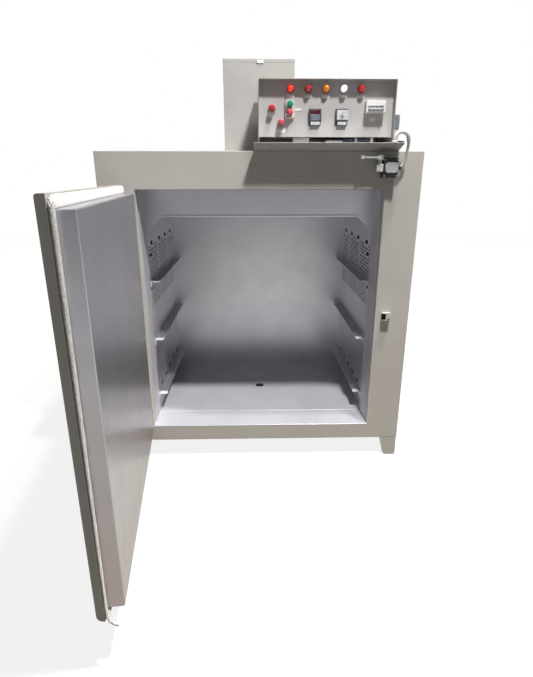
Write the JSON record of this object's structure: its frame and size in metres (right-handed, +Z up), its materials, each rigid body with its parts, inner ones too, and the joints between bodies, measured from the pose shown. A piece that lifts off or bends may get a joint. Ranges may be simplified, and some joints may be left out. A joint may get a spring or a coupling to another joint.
{
  "type": "welding electrode drying oven",
  "caption": "Insulated drying oven on plate feet with a hinged front door, ducted chamber with shelf runners, roof control box and blower housing.",
  "frame": {"origin": "on the floor, under the middle of the outline's box with the door standing open", "axes": "+X to the right seen from the front, +Y from the front to the back, +Z up"},
  "size_m": [1.296, 2.068, 1.731],
  "materials": {
    "paint": "satin",
    "panel_paint": "satin",
    "housing_paint": "satin",
    "liner": "satin",
    "rope": "matte",
    "zinc": "satin",
    "black_plastic": "matte",
    "grey_plastic": "matte",
    "white_plastic": "satin",
    "lead": "satin",
    "red_lamp": "gloss",
    "red_button": "gloss",
    "green_button": "gloss"
  },
  "bodies": {
    "cabinet": {"left_wall": "paint", "right_wall": "paint", "back_wall": "paint", "roof": "paint", "base_slab": "paint", "header": "paint", "bottom_rail": "paint", "left_stile": "paint", "right_stile": "paint", "front_feet": "paint", "rear_feet": "paint", "lining_left": "liner", "lining_right": "liner", "lining_top": "liner", "sill_plate": "liner", "fascia": "liner", "ceiling_panel": "liner", "floor_panel": "liner", "back_panel": "liner", "side_panel_left": "liner", "side_panel_right": "liner", "runners_left": "liner", "runners_right": "liner", "hinge_frame_leaves": "paint", "latch_keeper": "zinc", "switch_body": "black_plastic", "switch_head": "zinc", "switch_lead": "lead", "lead_gland": "grey_plastic", "gland_sleeve": "lead", "control_tray": "paint", "control_housing": "paint", "control_panel": "panel_paint", "pilot_lamps": "red_lamp", "button_collars": "zinc", "controllers": "black_plastic", "breaker_body": "white_plastic", "terminal_gear": "black_plastic", "blower_housing": "housing_paint", "housing_tab": "white_plastic"},
    "door": {"door_pan": "paint", "door_gasket": "rope", "door_plug": "liner", "hinge_door_leaves": "paint"},
    "lever": {"switch_lever": "zinc"},
    "toggles": {"breaker_toggles": "white_plastic"},
    "button_left": {"button_left": "red_button"},
    "button_start": {"button_start": "green_button"},
    "button_stop": {"button_stop": "red_button"},
    "button_low": {"button_low": "red_button"}
  },
  "joints": [
    {"name": "door_swing", "type": "hinge", "parent": "cabinet", "child": "door", "pos_m": [-0.545, 0.01702, 0.667], "axis": [0, 0, 1], "range_deg": [-36.3, 83.7]},
    {"name": "lever_tilt", "type": "hinge", "parent": "cabinet", "child": "lever", "pos_m": [0.46, -0.01198, 1.34], "axis": [0, 1, 0], "range_deg": [-30, 10], "stiffness_Nm_per_rad": 0.4},
    {"name": "toggle_flip", "type": "hinge", "parent": "cabinet", "child": "toggles", "pos_m": [0.437, 0.01077, 1.5113], "axis": [1, 0, 0], "range_deg": [-35, 0]},
    {"name": "button_left_push", "type": "slide", "parent": "cabinet", "child": "button_left", "axis": [0, 0.9976, -0.0698], "range_m": [0, 0.004], "stiffness_N_per_m": 400},
    {"name": "button_start_push", "type": "slide", "parent": "cabinet", "child": "button_start", "axis": [0, 0.9976, -0.0698], "range_m": [0, 0.004], "stiffness_N_per_m": 400},
    {"name": "button_stop_push", "type": "slide", "parent": "cabinet", "child": "button_stop", "axis": [0, 0.9976, -0.0698], "range_m": [0, 0.004], "stiffness_N_per_m": 400},
    {"name": "button_low_push", "type": "slide", "parent": "cabinet", "child": "button_low", "axis": [0, 0.9976, -0.0698], "range_m": [0, 0.004], "stiffness_N_per_m": 400}
  ]
}
